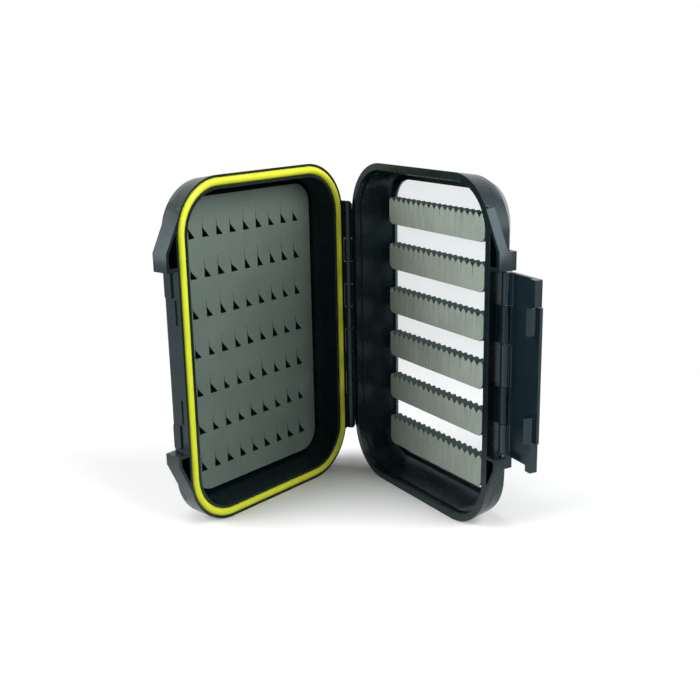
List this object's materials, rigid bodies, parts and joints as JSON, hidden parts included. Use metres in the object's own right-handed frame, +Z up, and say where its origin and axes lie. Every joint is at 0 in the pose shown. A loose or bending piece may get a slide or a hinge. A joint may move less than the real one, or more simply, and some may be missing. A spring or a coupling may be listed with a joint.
{
  "type": "fly box",
  "caption": "Waterproof clamshell fly box standing open, with slit foam, foam strips, sealing ring and snap latch.",
  "frame": {"origin": "centre of the flat band at the foot of the base tray, on which the box stands", "axes": "+Z up along the hinge axis; the base tray lies along X with the hinge at +X and opens towards -Y; the lid stands open at 71.5 degrees to it"},
  "size_m": [0.125, 0.142, 0.146],
  "materials": {
    "housing": "satin",
    "latch_plastic": "satin",
    "seal": "satin",
    "sheet_foam": "matte",
    "strip_foam": "matte",
    "window": "gloss",
    "pin_steel": "satin"
  },
  "bodies": {
    "base": {"base_shell": "housing", "gasket": "seal", "slit_foam": "sheet_foam", "hinge_pin": "pin_steel"},
    "lid": {"lid_shell": "housing", "lid_window": "window", "latch_pin": "pin_steel", "foam_strip_1": "strip_foam", "foam_strip_2": "strip_foam", "foam_strip_3": "strip_foam", "foam_strip_4": "strip_foam", "foam_strip_5": "strip_foam", "foam_strip_6": "strip_foam"},
    "snap_latch": {"latch": "latch_plastic"}
  },
  "joints": [
    {"name": "lid_hinge", "type": "hinge", "parent": "base", "child": "lid", "pos_m": [0.0525, -0.0059, 0.073], "axis": [0, 0, 1], "range_deg": [-71.5, 108.5]},
    {"name": "latch_hinge", "type": "hinge", "parent": "lid", "child": "snap_latch", "pos_m": [0.02566, -0.10754, 0.073], "axis": [0, 0, 1], "range_deg": [-85, 80]}
  ]
}
